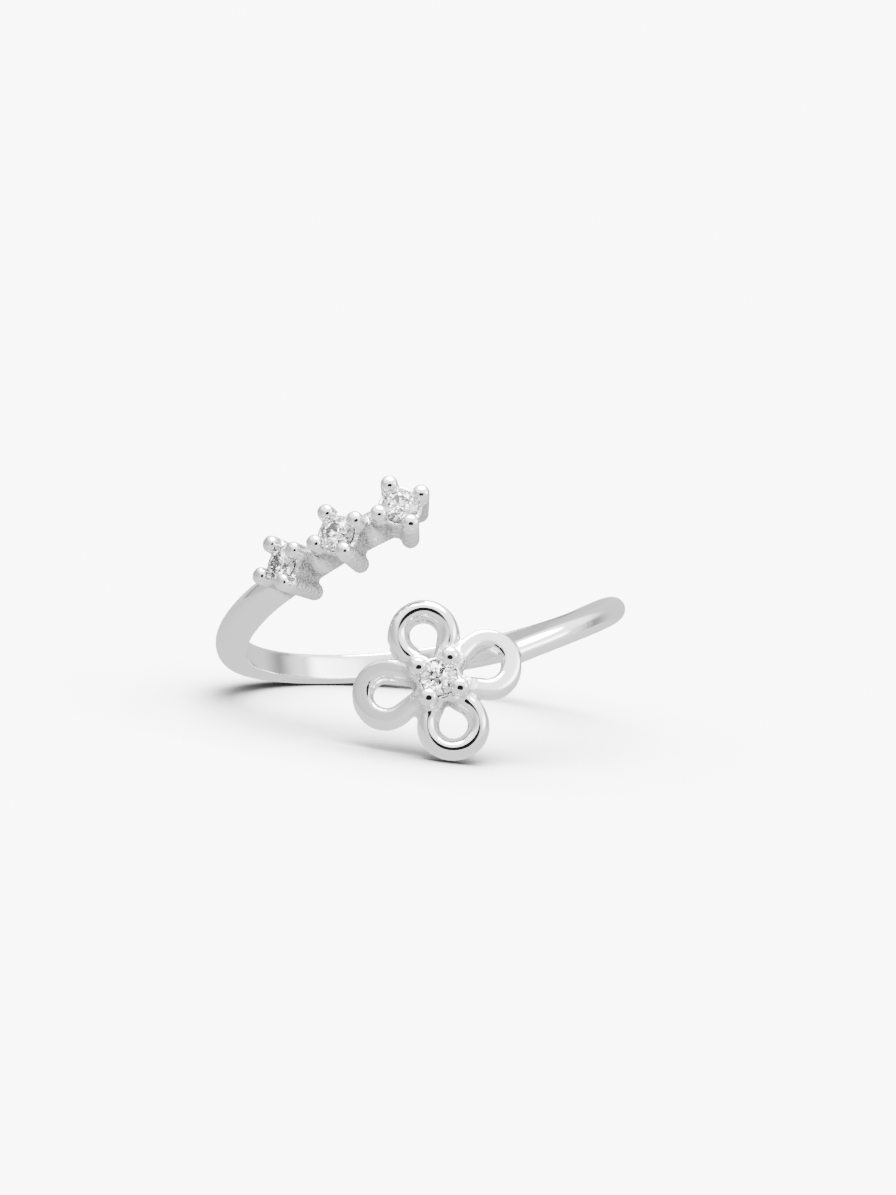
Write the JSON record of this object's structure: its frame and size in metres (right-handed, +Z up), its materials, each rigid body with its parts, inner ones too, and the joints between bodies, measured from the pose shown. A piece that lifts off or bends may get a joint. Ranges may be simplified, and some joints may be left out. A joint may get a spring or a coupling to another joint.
{
  "type": "toe ring",
  "caption": "Open toe ring whose band ends pass each other, one carrying a row of round stones and the other an open-petalled flower with a centre stone.",
  "frame": {"origin": "middle of the bounding box's base, on the surface that the ring rests on", "axes": "+Z up from that surface, -Y towards the flower and the row of stones, +X to the right of someone who faces the flower"},
  "size_m": [0.0164, 0.0182, 0.0109],
  "materials": {
    "silver": "polished cast silver",
    "clear_stone": "faceted and polished"
  },
  "bodies": {
    "root": {"ring_body": "silver", "row_stone_1": "clear_stone", "row_stone_2": "clear_stone", "row_stone_3": "clear_stone", "flower_stone": "clear_stone"}
  },
  "joints": []
}
